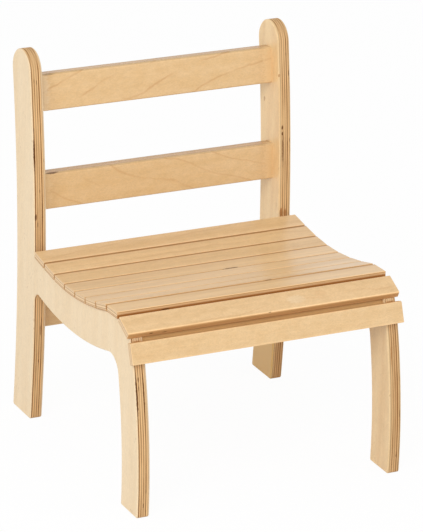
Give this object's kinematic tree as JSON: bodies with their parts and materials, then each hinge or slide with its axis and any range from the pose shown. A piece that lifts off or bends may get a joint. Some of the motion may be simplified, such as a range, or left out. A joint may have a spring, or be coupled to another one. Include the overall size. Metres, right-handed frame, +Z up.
{
  "type": "toddler chair",
  "caption": "Low slatted plywood chair for a toddler: curved one-piece side frames, a dished slatted seat with a rolled front edge, flat back rails and arched openings under the seat.",
  "frame": {"origin": "on the floor, under the middle of the chair's width and depth", "axes": "+X to the right of someone facing the chair, +Y to the back, +Z up"},
  "size_m": [0.3318, 0.3528, 0.432],
  "materials": {
    "frame_plywood": "clear satin lacquer on pale birch plywood",
    "slat_plywood": "clear satin lacquer on warm birch plywood",
    "rail_plywood": "clear satin lacquer on warm birch plywood",
    "dowel_beech": "raw beech"
  },
  "bodies": {
    "root": {"side_frame_left": "frame_plywood", "side_frame_right": "frame_plywood", "seat_slat_1": "slat_plywood", "seat_slat_2": "slat_plywood", "seat_slat_3": "slat_plywood", "seat_slat_4": "slat_plywood", "seat_slat_5": "slat_plywood", "seat_slat_6": "slat_plywood", "seat_slat_7": "slat_plywood", "seat_slat_8": "slat_plywood", "seat_slat_9": "slat_plywood", "front_apron": "slat_plywood", "back_rail_upper": "rail_plywood", "back_rail_lower": "rail_plywood", "rear_stretcher": "rail_plywood", "front_rail": "rail_plywood", "back_rail_upper_dowels": "dowel_beech", "back_rail_lower_dowels": "dowel_beech", "rear_stretcher_dowels": "dowel_beech", "front_rail_dowels": "dowel_beech"}
  },
  "joints": []
}
